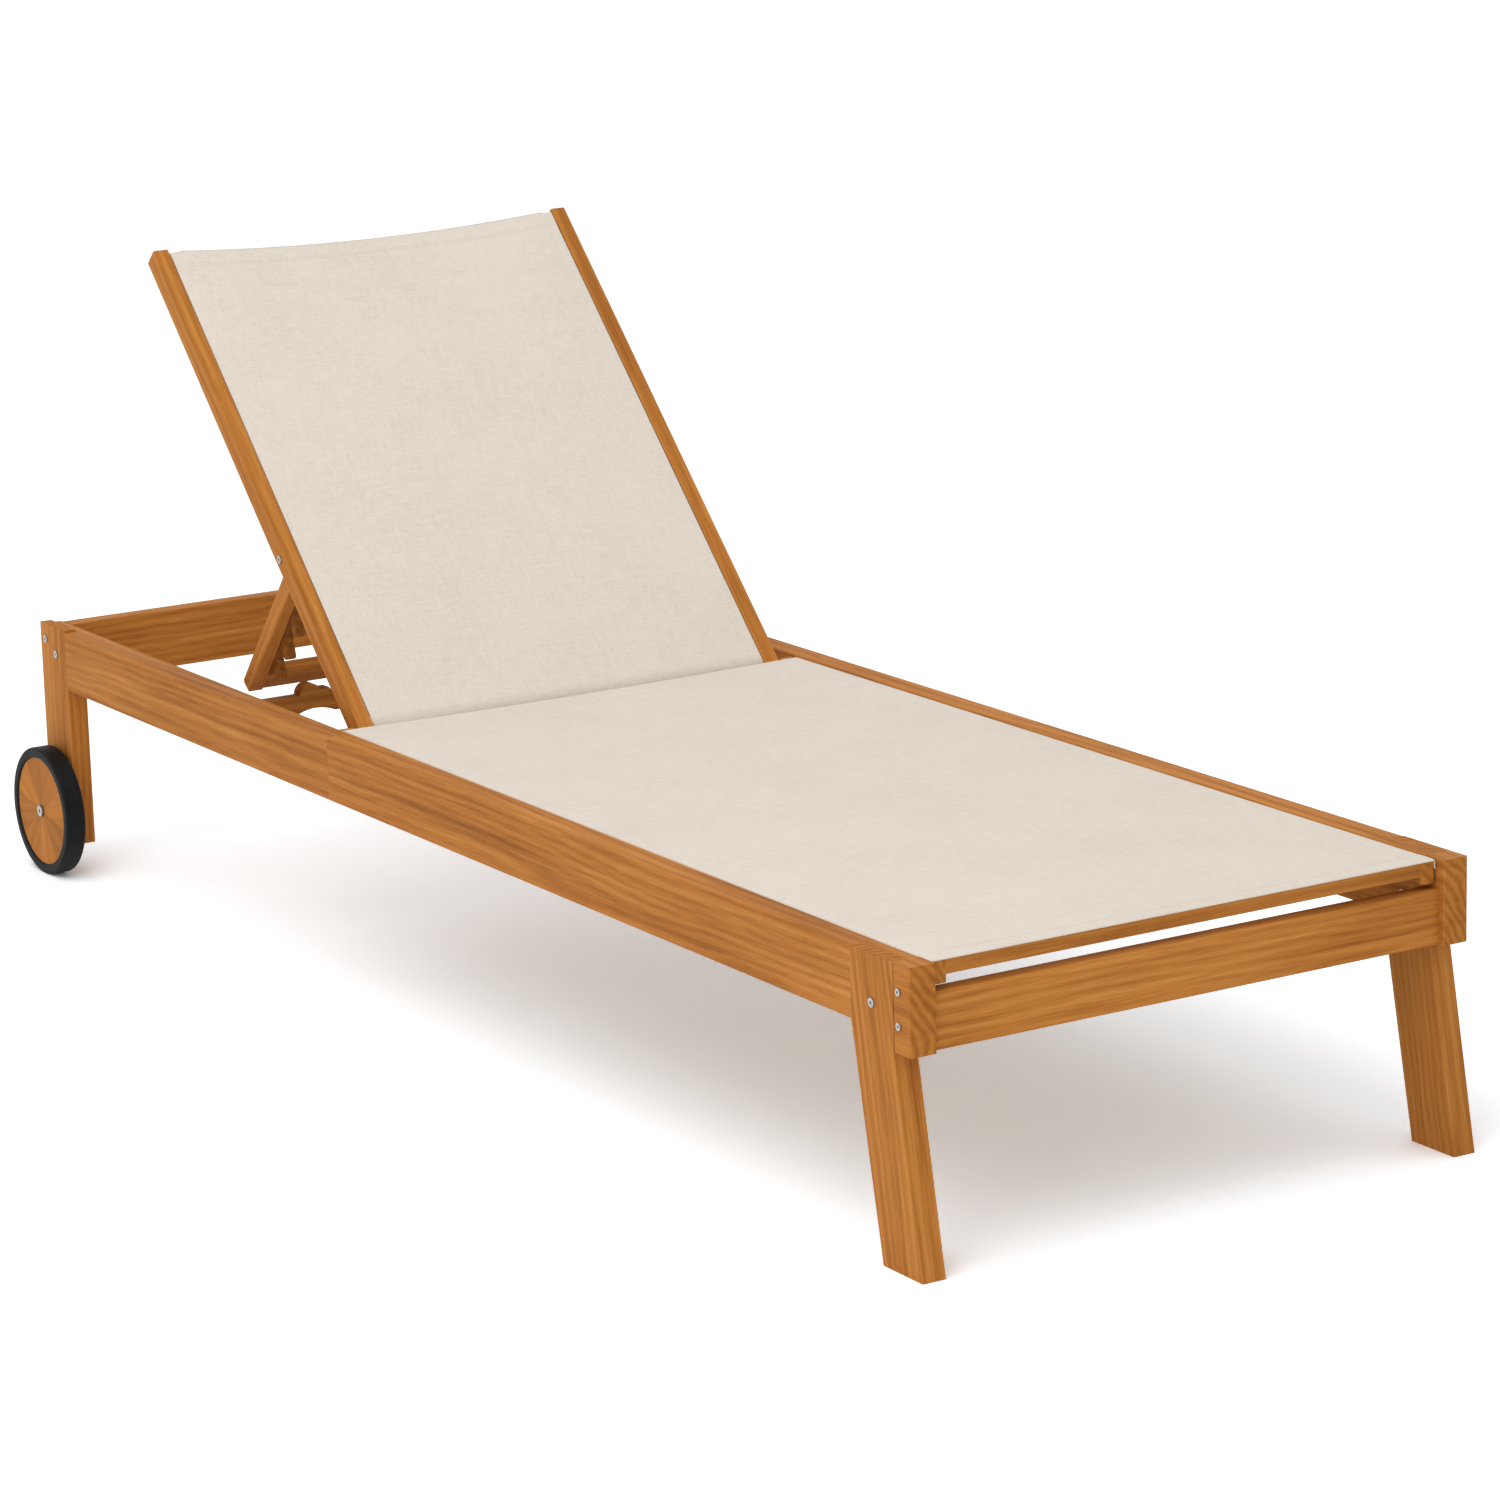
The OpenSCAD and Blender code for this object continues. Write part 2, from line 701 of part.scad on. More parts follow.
prop_screw_x = [for (k = [-0.25, 0.25]) -prop_bar_mid + k * prop_bar_h];
prop_screw_l = 47;
prop_screw_sunk = 0.5;

module prop_crossbar() color(wood) prop_frame() difference() {
    translate([-prop_bar_mid - prop_bar_h / 2, -prop_in, -prop_bar_t / 2])
        mirror([0, 1, 0]) rotate([0, 0, -90]) board_x(2 * prop_in, prop_bar_h, prop_bar_t);
    both() prop_screw_holes();
}

module prop_screw_holes() {
    for (x = prop_screw_x)
        pin_y(x, 0, prop_out - prop_screw_l - over, prop_out + over, screw_r + fit);
}

module prop_screws() color(steel) prop_frame() both() {
    for (x = prop_screw_x) {
        pin_y(x, 0, prop_out - prop_screw_l, prop_out - prop_screw_sunk, screw_r);
    }
}

// Round-ended tooth that leaves the leg's lower face at the given distance from the pivot
module tooth(x) translate([x, -prop_w / 2 + tooth_w / 2]) rotate(-90 - tooth_slant) {
    translate([0, -tooth_w / 2]) square([tooth_l, tooth_w]);
    translate([tooth_l, 0]) circle(tooth_w / 2);
    circle(tooth_w / 2);
}

rack_first = tooth_first - rack_margin;
rack_last = prop_bar_mid - prop_bar_h / 2 - rack_gap;

module prop_rack(s) color(dark_wood) prop_frame() side(s) plate_y(prop_in - rack_t, rack_t) {
    translate([-rack_last, -prop_w / 2]) square([rack_last - rack_first, rack_w]);
    for (k = [0:tooth_count - 1]) tooth(-tooth_first - k * tooth_pitch);
}

module prop_pivot_bolts() color(steel) back_frame() both() {
    pin_y(-prop_reach, -prop_pivot_back, prop_in - play - over, back_out, bolt_r);
    socket_head(-prop_reach, -prop_pivot_back, back_out, bolt_head_r, bolt_head_h);
    mirror([0, 1, 0])
        socket_head(-prop_reach, -prop_pivot_back, play - prop_in, bolt_head_r, bolt_head_h);
}

module prop_washers() color(steel) back_frame() both()
    washer_y(-prop_reach, -prop_pivot_back, prop_out + play, prop_gap - play, washer_r, bolt_r);

// ---- Wheels ----

tyre_edge_r = 3.5;
wheel_play = 0.5; // along the axle, between a wheel and what holds it
axle_head_extra = 2;
axle_head_h = 2.5;
axle_tip = 2; // past the nut
nut_k = 1.75; // nut radius as a share of the axle's
bush_t = 3;
bush_r = axle_r + fit + bush_t;
disc_y = wheel_in + (tyre_w - disc_t) / 2;

module tyre(s) color(rubber) bed() side(s) translate([axle_x, wheel_in + tyre_w, axle_z])
    rotate([90, 0, 0]) rotate_extrude($fn = 128)
        translate([wheel_r - tyre_t, 0]) eased(tyre_t, tyre_w, tyre_edge_r);

module wheel_disc(s) color(wood) bed() side(s) difference() {
    pin_y(axle_x, axle_z, disc_y, disc_y + disc_t, wheel_r - tyre_t);
    pin_y(axle_x, axle_z, disc_y - over, disc_y + disc_t + over, bush_r);
}

module wheel_bush(s) color(nylon) bed() side(s)
    washer_y(axle_x, axle_z, wheel_in + wheel_play, disc_y + disc_t - wheel_in - wheel_play,
        bush_r, axle_r);

module axle_bolt(s) color(steel) bed() side(s) {
    pin_y(axle_x, axle_z, rail_out - leg_t - nut_t - axle_tip, disc_y + disc_t + wheel_play, axle_r);
    socket_head(axle_x, axle_z, disc_y + disc_t + wheel_play, axle_r + axle_head_extra, axle_head_h);
}

module axle_spacers() color(steel) bed() both()
    washer_y(axle_x, axle_z, rail_out, wheel_gap, washer_r, axle_r);

module axle_nuts() color(steel) bed() both() difference() {
    translate([axle_x, rail_out - leg_t, axle_z]) rotate([90, 0, 0])
        cylinder(h = nut_t, r = axle_r * nut_k, $fn = 6);
    pin_y(axle_x, axle_z, rail_out - leg_t - nut_t - over, rail_out, axle_r + fit);
}

side_rail_front(-1);  // side_rail_front_left
side_rail_front(1);  // side_rail_front_right
side_rail_rear(-1);  // side_rail_rear_left
side_rail_rear(1);  // side_rail_rear_right
rail_splice(-1);  // rail_splice_left
rail_splice(1);  // rail_splice_right
splice_screws();
corner_block(-1);  // corner_block_left
corner_block(1);  // corner_block_right
corner_screws();
corner_dowels();
front_leg(-1);  // front_leg_left
front_leg(1);  // front_leg_right
front_leg_bolts();
rear_leg(-1);  // rear_leg_left
rear_leg(1);  // rear_leg_right
rear_leg_bolts();
front_crossbar();
rear_crossbar();
crossbar_screws();
crossbar_dowels();
catch_bar();
catch_bar_dowels();
seat_stile(-1);  // seat_stile_left
seat_stile(1);  // seat_stile_right
stile_screws();
stile_spacers();
seat_stretcher_front();
seat_stretcher(middle_stretcher_x);  // seat_stretcher_middle
seat_stretcher(rear_stretcher_x);  // seat_stretcher_rear
seat_stretcher_dowels();
seat_sling();
hinge_bolts();
hinge_washers();
back_stile(-1);  // back_stile_left
back_stile(1);  // back_stile_right
back_stretcher(back_stretcher_x[0]);  // back_stretcher_top
back_stretcher(back_stretcher_x[1]);  // back_stretcher_bottom
back_stretcher_dowels();
back_sling();
prop_pivot_bolts();
prop_washers();
prop_leg(-1);  // prop_leg_left
prop_leg(1);  // prop_leg_right
prop_crossbar();
prop_rack(-1);  // prop_rack_left
prop_rack(1);  // prop_rack_right
prop_screws();
wheel_disc(-1);  // wheel_disc_left
wheel_disc(1);  // wheel_disc_right
tyre(-1);  // tyre_left
tyre(1);  // tyre_right
wheel_bush(-1);  // wheel_bush_left
wheel_bush(1);  // wheel_bush_right
axle_bolt(-1);  // axle_bolt_left
axle_bolt(1);  // axle_bolt_right
axle_spacers();
axle_nuts();
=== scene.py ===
import bpy, bmesh, json, math
from mathutils import Vector, Matrix, Euler


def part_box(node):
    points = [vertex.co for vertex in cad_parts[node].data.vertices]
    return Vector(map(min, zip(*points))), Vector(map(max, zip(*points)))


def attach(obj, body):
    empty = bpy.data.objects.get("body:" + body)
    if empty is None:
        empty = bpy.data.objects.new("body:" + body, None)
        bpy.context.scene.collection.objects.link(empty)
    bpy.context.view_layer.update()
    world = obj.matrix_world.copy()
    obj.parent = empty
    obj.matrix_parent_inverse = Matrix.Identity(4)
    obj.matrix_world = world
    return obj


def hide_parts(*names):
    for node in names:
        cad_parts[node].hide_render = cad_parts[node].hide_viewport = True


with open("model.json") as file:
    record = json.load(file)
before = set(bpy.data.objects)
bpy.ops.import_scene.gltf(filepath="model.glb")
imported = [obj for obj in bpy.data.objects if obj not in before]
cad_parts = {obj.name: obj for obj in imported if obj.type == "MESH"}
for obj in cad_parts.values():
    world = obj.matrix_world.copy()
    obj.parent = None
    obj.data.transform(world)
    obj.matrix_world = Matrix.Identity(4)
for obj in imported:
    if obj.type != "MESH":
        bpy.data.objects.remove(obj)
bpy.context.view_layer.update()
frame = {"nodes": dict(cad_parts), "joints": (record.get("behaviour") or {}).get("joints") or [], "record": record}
nodes = frame["nodes"]

print("camera")

# the main view: its place in metres, its angles in radians and its lens in millimetres
cameraView = {
    "place": (4.9750, -2.9619, 1.6803),
    "yaw": 2.58863,
    "pitch": 0.23675,
    "roll": -0.02682,
    "lens": 123.57,
}


def makeCamera(v):
    look = Vector((math.cos(v["yaw"]) * math.cos(v["pitch"]), math.sin(v["yaw"]) * math.cos(v["pitch"]),
                   -math.sin(v["pitch"])))
    level = Vector((math.sin(v["yaw"]), -math.cos(v["yaw"]), 0))
    rise = level.cross(look)
    c, s = math.cos(v["roll"]), math.sin(v["roll"])
    right, up = level * c + rise * s, rise * c - level * s
    cam = bpy.data.objects.new("camera", bpy.data.cameras.new("camera"))
    cam.data.lens = v["lens"]
    cam.data.sensor_width = 36
    cam.data.clip_end = 60
    cam.matrix_world = Matrix.Translation(v["place"]) @ Matrix((right, up, -look)).transposed().to_4x4()
    bpy.context.collection.objects.link(cam)
    bpy.context.scene.camera = cam


makeCamera(cameraView)


# ways to add nodes, used by every material

def addNode(tree, kind, inputs=None, **settings):
    n = tree.nodes.new(kind)
    for key, value in settings.items():
        setattr(n, key, value)
    for key, value in (inputs or {}).items():
        if isinstance(value, bpy.types.NodeSocket):
            tree.links.new(value, n.inputs[key])
        else:
            n.inputs[key].default_value = value
    return n


def calc(tree, operation, a, b=0.0, c=0.0, clamp=False):
    return addNode(tree, "ShaderNodeMath", {0: a, 1: b, 2: c}, operation=operation, use_clamp=clamp).outputs[0]


def mixColor(tree, amount, a, b, blend="MIX"):
    n = addNode(tree, "ShaderNodeMix", {0: amount, 6: a, 7: b}, data_type="RGBA", blend_type=blend)
    return n.outputs[2]


def spread(tree, vector, scale):  # stretches a place before it reaches a texture
    return addNode(tree, "ShaderNodeMapping", {"Vector": vector, "Scale": scale}).outputs[0]


def noise(tree, vector, scale=1.0, detail=2.0, rough=0.5):
    return addNode(tree, "ShaderNodeTexNoise",
                   {"Vector": vector, "Scale": scale, "Detail": detail, "Roughness": rough})


def newGroup(name, inputs, outputs):
    g = bpy.data.node_groups.new(name, "ShaderNodeTree")
    for label, kind in inputs:
        g.interface.new_socket(name=label, in_out="INPUT", socket_type=kind)
    for label, kind in outputs:
        g.interface.new_socket(name=label, in_out="OUTPUT", socket_type=kind)
    return g, addNode(g, "NodeGroupInput"), addNode(g, "NodeGroupOutput")


def useGroup(tree, group, inputs):
    return addNode(tree, "ShaderNodeGroup", inputs, node_tree=group)


def newMaterial(name):
    m = bpy.data.materials.new(name)
    m.use_nodes = True
    m.node_tree.nodes.clear()
    shader = addNode(m.node_tree, "ShaderNodeBsdfPrincipled")
    addNode(m.node_tree, "ShaderNodeOutputMaterial", {"Surface": shader.outputs[0]})
    return m, m.node_tree, shader


def setShader(tree, shader, values):
    for key, value in values.items():
        if isinstance(value, bpy.types.NodeSocket):
            tree.links.new(value, shader.inputs[key])
        else:
            shader.inputs[key].default_value = value


def bump(tree, height, strength, distance):
    return addNode(tree, "ShaderNodeBump",
                   {"Height": height, "Strength": strength, "Distance": distance}).outputs[0]


print("studio")

studio = {
    "plainLight": 1.0,
    "skyLight": 0.78,
    "skyColor": (1, 0.995, 0.985, 1),
    "aim": (0, 0, 0.3),
    "sideShare": 0.6,  # the side lamp's size beside the key lamp's
    "floorReach": 14,
    "keyPower": 52,
    "keySize": 3.2,
    "keyPlace": (0.9, -1.9, 3.6),
    "sidePower": 14,
    "sidePlace": (3.2, -3.4, 1.7),
    "floorColor": (0.92, 0.92, 0.92, 1),
    # the floor's colour to the camera, which turns white away from the shadow
    "shownFloor": (1.33, 1.39, 1.44, 1),
}


def seenPlainly(tree):  # 1 for rays from the camera, from a gloss or through something clear
    path = addNode(tree, "ShaderNodeLightPath")
    seen = calc(tree, "MAXIMUM", path.outputs["Is Camera Ray"], path.outputs["Is Glossy Ray"])
    return calc(tree, "MAXIMUM", seen, path.outputs["Is Transmission Ray"])


def makeStudio(v):
    scene = bpy.context.scene
    scene.view_settings.view_transform = "Standard"
    world = bpy.data.worlds.new("studio")
    scene.world = world
    world.use_nodes = True
    t = world.node_tree
    t.nodes.clear()
    seen = seenPlainly(t)
    plain = addNode(t, "ShaderNodeBackground", {"Color": (1, 1, 1, 1), "Strength": v["plainLight"]})
    sky = addNode(t, "ShaderNodeBackground", {"Color": v["skyColor"], "Strength": v["skyLight"]})
    both = addNode(t, "ShaderNodeMixShader", {0: seen, 1: sky.outputs[0], 2: plain.outputs[0]})
    addNode(t, "ShaderNodeOutputWorld", {"Surface": both.outputs[0]})
    for name, place, power, size in (("keyLamp", v["keyPlace"], v["keyPower"], v["keySize"]),
                                     ("sideLamp", v["sidePlace"], v["sidePower"],
                                      v["keySize"] * v["sideShare"])):
        lamp = bpy.data.objects.new(name, bpy.data.lights.new(name, "AREA"))
        lamp.data.energy = power
        lamp.data.size = size
        lamp.location = place
        lamp.rotation_euler = (Vector(v["aim"]) - Vector(place)).to_track_quat("-Z", "Y").to_euler()
        bpy.context.collection.objects.link(lamp)
    floorMesh = bpy.data.meshes.new("floor")
    r = v["floorReach"]
    floorMesh.from_pydata([(-r, -r, 0), (r, -r, 0), (r, r, 0), (-r, r, 0)], [], [(0, 1, 2, 3)])
    floor = bpy.data.objects.new("floor", floorMesh)
    bpy.context.collection.objects.link(floor)
    m = bpy.data.materials.new("floor")
    m.use_nodes = True
    t = m.node_tree
    t.nodes.clear()
    seen = seenPlainly(t)
    matte = addNode(t, "ShaderNodeBsdfDiffuse", {"Color": v["floorColor"]})
    shown = addNode(t, "ShaderNodeBsdfDiffuse", {"Color": v["shownFloor"]})
    both = addNode(t, "ShaderNodeMixShader", {0: seen, 1: matte.outputs[0], 2: shown.outputs[0]})
    addNode(t, "ShaderNodeOutputMaterial", {"Surface": both.outputs[0]})
    floorMesh.materials.append(m)


makeStudio(studio)

print("wood")

oiledWood = {
    "pale": (0.600, 0.262, 0.060, 1),
    "middle": (0.455, 0.168, 0.028, 1),
    "deep": (0.250, 0.078, 0.010, 1),
    "ringGap": 0.010,
    "roughness": 0.62,
    "rings": 0.13,  # how much each kind of figure counts
    "streaks": 0.75,
    "fibres": 0.45,
    "patches": 0.35,
    "balance": 0.84,
    "contrast": 1.6,
    "pores": 0.35,
    "endShade": 0.42,
    "specular": 0.12,
    "bump": 0.22,
    "bumpDeep": 0.0006,
}


def makeGrainGroup():
    g, i, o = newGroup("boardGrain",
                       [("Vector", "NodeSocketVector"), ("End", "NodeSocketFloat"), ("Tone", "NodeSocketFloat"),
                        ("Pale", "NodeSocketColor"), ("Middle", "NodeSocketColor"), ("Deep", "NodeSocketColor")],
                       [("Color", "NodeSocketColor"), ("Roughness", "NodeSocketFloat"),
                        ("Height", "NodeSocketFloat")])
    place = i.outputs["Vector"]
    drift = noise(g, spread(g, place, (1.5, 9, 9)), 1, 3)
    push = addNode(g, "ShaderNodeVectorMath", {0: drift.outputs["Color"], 1: (0.5, 0.5, 0.5)},
                   operation="SUBTRACT").outputs[0]
    push = addNode(g, "ShaderNodeVectorMath", {0: push, 1: (0, 0.055, 0.055)}, operation="MULTIPLY").outputs[0]
    bent = addNode(g, "ShaderNodeVectorMath", {0: place, 1: push}, operation="ADD").outputs[0]
    rings = addNode(g, "ShaderNodeTexWave", {"Vector": bent, "Scale": 0.314 / oiledWood["ringGap"],
                                             "Distortion": 0.6, "Detail": 2.0, "Detail Scale": 0.4},
                    wave_type="RINGS", rings_direction="X", wave_profile="SIN").outputs["Fac"]
    streaks = noise(g, spread(g, place, (2.0, 95, 95)), 1, 4, 0.62).outputs["Fac"]
    fibres = noise(g, spread(g, place, (22, 620, 620)), 1, 2).outputs["Fac"]
    patches = noise(g, spread(g, place, (3, 10, 10)), 1, 1).outputs["Fac"]
    pores = noise(g, spread(g, place, (90, 1500, 1500)), 1, 1).outputs["Fac"]
    pores = calc(g, "MULTIPLY", calc(g, "SUBTRACT", pores, 0.62, clamp=True), 4.0, clamp=True)
    value = calc(g, "MULTIPLY", rings, oiledWood["rings"])
    value = calc(g, "MULTIPLY_ADD", streaks, oiledWood["streaks"], value)
    value = calc(g, "MULTIPLY_ADD", fibres, oiledWood["fibres"], value)
    value = calc(g, "MULTIPLY_ADD", patches, oiledWood["patches"], value)
    value = calc(g, "SUBTRACT", value, oiledWood["balance"])
    value = calc(g, "MULTIPLY_ADD", value, oiledWood["contrast"], 0.5, clamp=True)
    low = addNode(g, "ShaderNodeMapRange", {0: value, 1: 0.0, 2: 0.5, 3: 0.0, 4: 1.0}).outputs[0]
    high = addNode(g, "ShaderNodeMapRange", {0: value, 1: 0.5, 2: 1.0, 3: 0.0, 4: 1.0}).outputs[0]
    color = mixColor(g, low, i.outputs["Deep"], i.outputs["Middle"])
    color = mixColor(g, high, color, i.outputs["Pale"])
    color = mixColor(g, calc(g, "MULTIPLY", pores, oiledWood["pores"]), color, i.outputs["Deep"])
    endColor = mixColor(g, rings, i.outputs["Deep"], i.outputs["Middle"])
    color = mixColor(g, calc(g, "MULTIPLY", i.outputs["End"], oiledWood["endShade"]), color, endColor)
    bright = calc(g, "ADD", i.outputs["Tone"], 1.0)
    color = addNode(g, "ShaderNodeHueSaturation", {"Color": color, "Value": bright}).outputs[0]
    rough = calc(g, "MULTIPLY_ADD", fibres, 0.16, oiledWood["roughness"] - 0.08)
    rough = calc(g, "MULTIPLY_ADD", i.outputs["End"], 0.12, rough)
    height = calc(g, "MULTIPLY_ADD", pores, -0.6, calc(g, "MULTIPLY_ADD", rings, 0.3, fibres))
    g.links.new(color, o.inputs["Color"])
    g.links.new(rough, o.inputs["Roughness"])
    g.links.new(height, o.inputs["Height"])
    return g


grainGroup = makeGrainGroup()


def woodMaterial(node, turn, tone, number):
    m, t, shader = newMaterial("wood_" + node)
    low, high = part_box(node)
    turned = Euler(turn).to_matrix() @ ((low + high) / 2)
    heart = Vector((number * 1.37 % 4, 0.045 + 0.03 * (number % 3), 0.05 + 0.035 * (number % 4)))
    where = addNode(t, "ShaderNodeTexCoord")
    place = addNode(t, "ShaderNodeMapping", {"Vector": where.outputs["Object"], "Rotation": turn,
                                             "Location": heart - turned}).outputs[0]
    facing = addNode(t, "ShaderNodeMapping", {"Vector": where.outputs["Normal"], "Rotation": turn}).outputs[0]
    along = calc(t, "ABSOLUTE", addNode(t, "ShaderNodeSeparateXYZ", {0: facing}).outputs[0])
    end = addNode(t, "ShaderNodeMapRange", {0: along, 1: 0.8, 2: 0.92, 3: 0.0, 4: 1.0}).outputs[0]
    grain = useGroup(t, grainGroup, {"Vector": place, "End": end, "Tone": tone, "Pale": oiledWood["pale"],
                                     "Middle": oiledWood["middle"], "Deep": oiledWood["deep"]})
    setShader(t, shader, {"Base Color": grain.outputs["Color"], "Roughness": grain.outputs["Roughness"],
                          "Specular IOR Level": oiledWood["specular"],
                          "Normal": bump(t, grain.outputs["Height"], oiledWood["bump"],
                                         oiledWood["bumpDeep"])})
    return m


def quarter(x=0, y=0, z=0):  # degrees about each axis, as radians
    return tuple(math.radians(a) for a in (x, y, z))


backAngle, legAngle, propAngle = 46, 100.5, 50.6
lengthways, crossways, upright = quarter(), quarter(z=-90), quarter(y=90)
splayed, leaning, propping = quarter(y=legAngle), quarter(y=-backAngle), quarter(y=propAngle)

# each board's grain direction and how much lighter or darker it is than the rest
boards = {
    "side_rail_front_left": (lengthways, 0.0),
    "side_rail_front_right": (lengthways, 0.03),
    "side_rail_rear_left": (lengthways, -0.04),
    "side_rail_rear_right": (lengthways, 0.02),
    "corner_block_left": (lengthways, 0.02),
    "corner_block_right": (lengthways, -0.03),
    "front_leg_left": (splayed, 0.02),
    "front_leg_right": (splayed, -0.08),
    "rear_leg_left": (upright, 0.03),
    "rear_leg_right": (upright, -0.02),
    "front_crossbar": (crossways, 0.05),
    "rear_crossbar": (crossways, 0.0),
    "seat_stile_left": (lengthways, 0.0),
    "seat_stile_right": (lengthways, -0.02),
    "seat_stretcher_front": (crossways, -0.05),
    "seat_stretcher_middle": (crossways, -0.03),
    "seat_stretcher_rear": (crossways, -0.06),
    "back_stile_left": (leaning, 0.01),
    "back_stile_right": (leaning, 0.04),
    "back_stretcher_top": (crossways, 0.0),
    "back_stretcher_bottom": (crossways, -0.05),
    "prop_leg_left": (propping, 0.02),
    "prop_leg_right": (propping, -0.03),
    "prop_crossbar": (crossways, -0.02),
    "rail_splice_left": (lengthways, -0.12),
    "rail_splice_right": (lengthways, -0.10),
    "catch_bar": (crossways, -0.2),
    # the prop racks are made much darker as painted shade, for the shadow they sit in beside the prop legs
    "prop_rack_left": (propping, -0.42),
    "prop_rack_right": (propping, -0.38),
    "corner_dowels": (lengthways, -0.1),
    "crossbar_dowels": (crossways, -0.1),
    "catch_bar_dowels": (crossways, -0.1),
    "seat_stretcher_dowels": (crossways, -0.1),
    "back_stretcher_dowels": (crossways, -0.1),
}
edgeRound = {"width": 0.0012, "steps": 2, "over": 50}
sharpBoards = ("front_leg_left", "front_leg_right", "corner_block_left", "corner_block_right",
               "rear_leg_left", "rear_leg_right", "side_rail_front_left", "side_rail_front_right",
               "side_rail_rear_left", "side_rail_rear_right", "back_stile_left", "back_stile_right",
               "prop_rack_left", "prop_rack_right", "catch_bar", "front_crossbar", "rear_crossbar")


def dressNode(node, material):
    o = nodes[node]
    o.data.materials.clear()
    o.data.materials.append(material)


for number, (node, (turn, tone)) in enumerate(boards.items()):
    dressNode(node, woodMaterial(node, turn, tone, number))
for node in sharpBoards:
    m = nodes[node].modifiers.new("easedEdges", "BEVEL")
    m.width = edgeRound["width"]
    m.segments = edgeRound["steps"]
    m.limit_method = "ANGLE"
    m.angle_limit = math.radians(edgeRound["over"])

print("wheels")

wheelLook = {
    "wedges": 8,
    "seam": 0.0006,
    "turn": 0.2,
    "pale": (0.540, 0.215, 0.045, 1),
    "deep": (0.360, 0.122, 0.019, 1),
    "seamColor": (0.12, 0.045, 0.015, 1),
    "seamShade": 0.45,
    "bump": 0.25,
}


def makeWedgeGroup(v):
    g, i, o = newGroup("wedgeTurn", [("Vector", "NodeSocketVector")],
                       [("Vector", "NodeSocketVector"), ("Tone", "NodeSocketFloat"),
                        ("Seam", "NodeSocketFloat")])
    step = 2 * math.pi / v["wedges"]
    start = v["turn"] + 4 * math.pi
    parts = addNode(g, "ShaderNodeSeparateXYZ", {0: i.outputs["Vector"]})
    angle = calc(g, "ADD", calc(g, "ARCTAN2", parts.outputs["Z"], parts.outputs["X"]), start)
    index = calc(g, "FLOOR", calc(g, "DIVIDE", angle, step))
    middle = calc(g, "SUBTRACT", calc(g, "MULTIPLY", calc(g, "ADD", index, 0.5), step), start)
    turned = addNode(g, "ShaderNodeVectorRotate", {"Vector": i.outputs["Vector"], "Angle": middle},
                     rotation_type="Y_AXIS").outputs[0]
    shift = addNode(g, "ShaderNodeCombineXYZ", {"X": calc(g, "MULTIPLY", index, 0.77),
                                                "Y": calc(g, "MULTIPLY", index, 0.013), "Z": 0.07}).outputs[0]
    moved = addNode(g, "ShaderNodeVectorMath", {0: turned, 1: shift}, operation="ADD").outputs[0]
    tone = calc(g, "MULTIPLY", calc(g, "SINE", calc(g, "MULTIPLY", index, 2.4)), 0.16)
    flat = addNode(g, "ShaderNodeSeparateXYZ", {0: turned})
    ratio = calc(g, "ABSOLUTE", calc(g, "DIVIDE", flat.outputs[2], flat.outputs[0]))
    edge = calc(g, "SUBTRACT", math.tan(step / 2), ratio)
    edge = calc(g, "MULTIPLY", edge, calc(g, "ABSOLUTE", flat.outputs[0]))
    seam = addNode(g, "ShaderNodeMapRange", {0: edge, 1: 0.0, 2: v["seam"], 3: 1.0, 4: 0.0}).outputs[0]
    g.links.new(moved, o.inputs["Vector"])
    g.links.new(tone, o.inputs["Tone"])
    g.links.new(seam, o.inputs["Seam"])
    return g


wedgeGroup = makeWedgeGroup(wheelLook)


def wheelWood(node):
    m, t, shader = newMaterial("wood_" + node)
    low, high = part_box(node)
    where = addNode(t, "ShaderNodeTexCoord")
    place = addNode(t, "ShaderNodeMapping", {"Vector": where.outputs["Object"],
                                             "Location": -(low + high) / 2}).outputs[0]
    wedge = useGroup(t, wedgeGroup, {"Vector": place})
    grain = useGroup(t, grainGroup, {"Vector": wedge.outputs["Vector"], "End": 0.0,
                                     "Tone": wedge.outputs["Tone"], "Pale": wheelLook["pale"],
                                     "Middle": oiledWood["middle"], "Deep": wheelLook["deep"]})
    color = mixColor(t, calc(t, "MULTIPLY", wedge.outputs["Seam"], wheelLook["seamShade"]),
                     grain.outputs["Color"], wheelLook["seamColor"])
    height = calc(t, "SUBTRACT", grain.outputs["Height"], calc(t, "MULTIPLY", wedge.outputs["Seam"], 2.0))
    setShader(t, shader, {"Base Color": color, "Roughness": grain.outputs["Roughness"],
                          "Specular IOR Level": oiledWood["specular"],
                          "Normal": bump(t, height, wheelLook["bump"], oiledWood["bumpDeep"])})
    return m


tyreRubber = {"color": (0.004, 0.004, 0.0045, 1), "worn": (0.013, 0.013, 0.014, 1), "specular": 0.15}


def makeRubber(v):
    m, t, shader = newMaterial("tyreRubber")
    place = addNode(t, "ShaderNodeTexCoord").outputs["Object"]
    dust = noise(t, place, 26, 4, 0.6).outputs["Fac"]
    fine = noise(t, place, 900, 2).outputs["Fac"]
    worn = calc(t, "MULTIPLY", calc(t, "SUBTRACT", dust, 0.42, clamp=True), 2.2, clamp=True)
    setShader(t, shader, {"Base Color": mixColor(t, worn, v["color"], v["worn"]),
                          "Roughness": calc(t, "MULTIPLY_ADD", dust, 0.3, 0.42),
                          "Specular IOR Level": v["specular"],
                          "Normal": bump(t, fine, 0.25, 0.0003)})
    return m


rubber = makeRubber(tyreRubber)
for sideName in ("left", "right"):
    dressNode("wheel_disc_" + sideName, wheelWood("wheel_disc_" + sideName))
    dressNode("tyre_" + sideName, rubber)

print("fixings")

